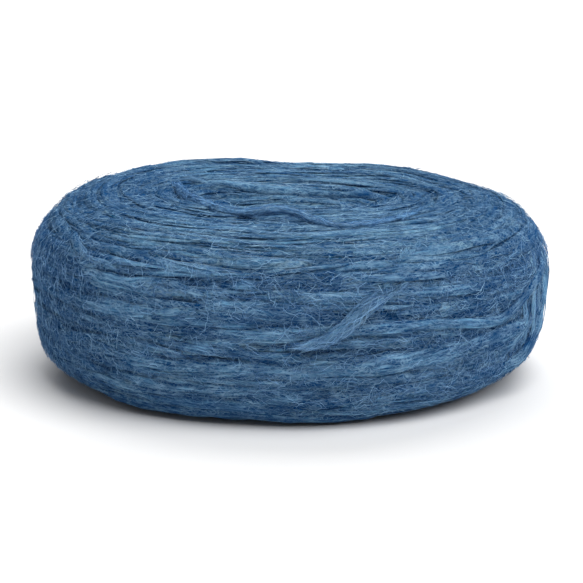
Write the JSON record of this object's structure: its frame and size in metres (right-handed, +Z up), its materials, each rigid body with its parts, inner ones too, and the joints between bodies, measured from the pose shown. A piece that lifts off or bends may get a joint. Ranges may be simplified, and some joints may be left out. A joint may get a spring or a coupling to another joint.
{
  "type": "wool yarn plate",
  "caption": "Flat round plate of soft unspun blue wool yarn, wound in a spiral with a shallow eye on top and loose ends, for knitting, weaving or felting.",
  "frame": {"origin": "middle of the flat foot, on the surface that the plate lies on", "axes": "+Z up through the eye, front with the slanting outer end towards -Y"},
  "size_m": [0.1896, 0.195, 0.0712],
  "materials": {
    "wound_wool": "matt, fuzzy",
    "inner_end_wool": "matt, fuzzy",
    "outer_end_wool": "matt, fuzzy"
  },
  "bodies": {
    "root": {"wound_plate": "wound_wool", "inner_end": "inner_end_wool", "outer_end": "outer_end_wool"}
  },
  "joints": []
}
